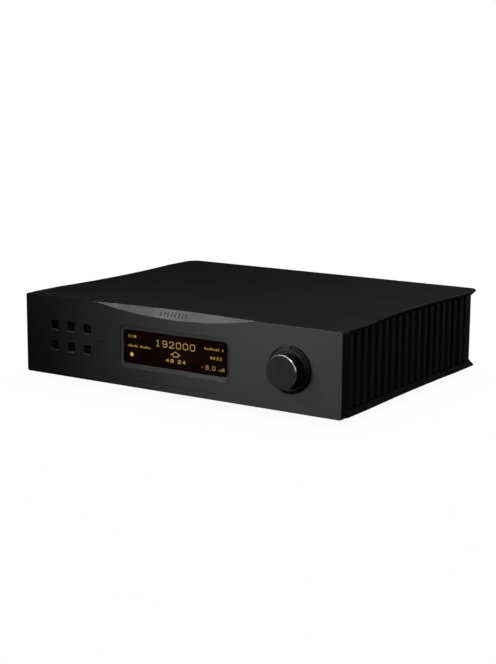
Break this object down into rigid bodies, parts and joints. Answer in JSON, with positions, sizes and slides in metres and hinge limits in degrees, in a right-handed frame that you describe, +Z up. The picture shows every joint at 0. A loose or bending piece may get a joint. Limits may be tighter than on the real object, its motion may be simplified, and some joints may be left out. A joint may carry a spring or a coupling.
{
  "type": "desktop dac",
  "caption": "Midi-size desktop digital-to-analogue converter: low metal case with finned sides, front display, push buttons and a skirted rotary knob.",
  "frame": {"origin": "middle of the overall width and depth, on the feet's underside", "axes": "+X to the right seen from the front, +Y from the front panel to the rear, +Z up"},
  "size_m": [0.32, 0.2746, 0.078],
  "materials": {
    "black_anodised": "fine bead-blasted anodised, near black",
    "knob_anodised": "fine turned anodised, near black",
    "dark_glass": "smoked, polished",
    "display_face": "dark, with amber light",
    "button_black": "polished black",
    "black_plastic": "moulded",
    "rubber_black": "matt",
    "zinc_steel": "zinc plated",
    "black_steel": "black oxide",
    "gold_contact": "gold plated",
    "nickel": "nickel plated",
    "board_green": "glass-fibre laminate with solder mask",
    "chip_black": "epoxy",
    "capacitor_sleeve": "shrunk sleeve",
    "winding": "wound tape over copper",
    "red_lens": "dark red, infrared clear",
    "cable_grey": "flexible",
    "wire_red": "silicone sleeve"
  },
  "bodies": {
    "chassis": {"front_panel": "black_anodised", "top_cover": "black_anodised", "bottom_plate": "black_anodised", "heatsink_left": "black_anodised", "heatsink_right": "black_anodised", "rear_panel": "black_anodised", "corner_blocks": "zinc_steel", "feet": "black_anodised", "foot_pads": "rubber_black", "foot_screws": "black_steel", "case_bolts": "black_steel", "panel_screws": "black_steel", "board_screws": "zinc_steel", "display_window": "dark_glass", "display_module": "display_face", "display_board": "board_green", "button_switches": "black_plastic", "button_board": "board_green", "ir_lens": "red_lens", "encoder_body": "zinc_steel", "encoder_nut": "nickel", "power_board": "board_green", "main_board": "board_green", "digital_board": "board_green", "board_standoffs": "gold_contact", "converter_chips": "chip_black", "audio_capacitors": "capacitor_sleeve", "reservoir_capacitors": "capacitor_sleeve", "analogue_transformer": "winding", "digital_transformer": "winding", "transformer_discs": "zinc_steel", "transformer_bolts": "zinc_steel", "front_ribbon_cable": "cable_grey", "mains_wires": "wire_red", "iec_inlet": "black_plastic", "iec_pins": "nickel", "switch_housing": "black_plastic", "xlr_shells": "nickel", "xlr_inserts": "black_plastic", "xlr_pins": "gold_contact", "rca_jacks": "gold_contact", "rca_centres": "black_plastic", "usb_socket": "nickel", "i2s_socket": "nickel", "toslink_socket": "black_plastic", "connector_screws": "black_steel"},
    "knob": {"knob_body": "knob_anodised", "knob_skirt": "knob_anodised", "knob_set_screw": "black_steel", "encoder_shaft": "nickel"},
    "rocker": {"power_rocker": "button_black"},
    "fuse_tray": {"fuse_drawer": "black_plastic", "fuses": "nickel"},
    "optical_flap": {"toslink_shutter": "black_plastic"},
    "button_1": {"button_cap_1": "button_black"},
    "button_2": {"button_cap_2": "button_black"},
    "button_3": {"button_cap_3": "button_black"},
    "button_4": {"button_cap_4": "button_black"},
    "button_5": {"button_cap_5": "button_black"},
    "button_6": {"button_cap_6": "button_black"}
  },
  "joints": [
    {"name": "knob_turn", "type": "hinge", "parent": "chassis", "child": "knob", "pos_m": [0.1128, -0.12375, 0.0429], "axis": [0, 1, 0], "continuous": true},
    {"name": "button_1_press", "type": "slide", "parent": "chassis", "child": "button_1", "axis": [0, 1, 0], "range_m": [0, 0.0005]},
    {"name": "button_2_press", "type": "slide", "parent": "chassis", "child": "button_2", "axis": [0, 1, 0], "range_m": [0, 0.0005]},
    {"name": "button_3_press", "type": "slide", "parent": "chassis", "child": "button_3", "axis": [0, 1, 0], "range_m": [0, 0.0005]},
    {"name": "button_4_press", "type": "slide", "parent": "chassis", "child": "button_4", "axis": [0, 1, 0], "range_m": [0, 0.0005]},
    {"name": "button_5_press", "type": "slide", "parent": "chassis", "child": "button_5", "axis": [0, 1, 0], "range_m": [0, 0.0005]},
    {"name": "button_6_press", "type": "slide", "parent": "chassis", "child": "button_6", "axis": [0, 1, 0], "range_m": [0, 0.0005]},
    {"name": "rocker_tilt", "type": "hinge", "parent": "chassis", "child": "rocker", "pos_m": [0.07, 0.12225, 0.043], "axis": [1, 0, 0], "range_deg": [0, 18]},
    {"name": "fuse_tray_slide", "type": "slide", "parent": "chassis", "child": "fuse_tray", "axis": [0, 1, 0], "range_m": [0, 0.018]},
    {"name": "optical_flap_swing", "type": "hinge", "parent": "chassis", "child": "optical_flap", "pos_m": [-0.01, 0.12505, 0.0321], "axis": [1, 0, 0], "range_deg": [-80, 0]}
  ]
}
